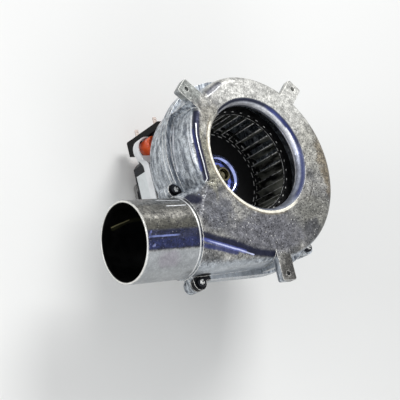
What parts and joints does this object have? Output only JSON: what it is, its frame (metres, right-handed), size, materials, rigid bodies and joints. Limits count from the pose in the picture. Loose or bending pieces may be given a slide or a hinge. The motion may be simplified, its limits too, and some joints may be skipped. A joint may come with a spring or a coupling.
{
  "type": "boiler fan",
  "caption": "Centrifugal flue fan: snail casing with an open round inlet and mounting arms, a side outlet pipe, a bladed drum impeller and a shaded-pole motor on pillars behind.",
  "frame": {"origin": "centre of the inlet on the mounting face", "axes": "+Z out of the inlet along the shaft, the outlet pipe points towards -X"},
  "size_m": [0.2054, 0.1722, 0.1205],
  "materials": {
    "cast_alloy": "satin, as cast",
    "outlet_pipe": "satin, drawn",
    "zinc_screws": "bright zinc plate",
    "impeller_sheet": "dark coated steel sheet",
    "hub_cap": "polished",
    "turned_steel": "turned",
    "shaft_steel": "ground",
    "graphite": "matte",
    "bracket_alloy": "die cast",
    "bronze": "sintered",
    "lamination": "varnished steel sheets",
    "copper": "enamelled",
    "rotor_cage": "cast",
    "white_nylon": "satin",
    "black_nylon": "satin",
    "terminal_brass": "tinned",
    "blank_label": "paper, blank"
  },
  "bodies": {
    "casing": {"front_shell": "cast_alloy", "mounting_arms": "cast_alloy", "rear_shell": "cast_alloy", "outlet_spigot": "outlet_pipe", "casing_screws": "zinc_screws", "shaft_seal": "graphite", "seal_plate": "bracket_alloy", "seal_screws": "zinc_screws", "front_bracket": "bracket_alloy", "rear_bracket": "bracket_alloy", "bearings": "bronze", "bearing_clips": "turned_steel", "stator_core": "lamination", "shading_rings": "copper", "core_bar": "lamination", "coil_bobbin": "white_nylon", "coil_winding": "copper", "coil_end_turns": "copper", "lead_guard": "white_nylon", "terminal_carrier": "black_nylon", "spade_terminals": "terminal_brass", "rating_label": "blank_label", "motor_screws": "zinc_screws"},
    "rotor": {"impeller_front_ring": "impeller_sheet", "impeller_blades": "impeller_sheet", "impeller_back_disc": "impeller_sheet", "hub_dome": "hub_cap", "hub_boss": "turned_steel", "hub_rivets": "turned_steel", "hub_nut": "turned_steel", "shaft": "shaft_steel", "rotor_core": "lamination", "rotor_end_rings": "rotor_cage", "thrust_spacers": "graphite"}
  },
  "joints": [
    {"name": "impeller_spin", "type": "hinge", "parent": "casing", "child": "rotor", "pos_m": [0, 0, 0], "axis": [0, 0, -1], "continuous": true}
  ]
}
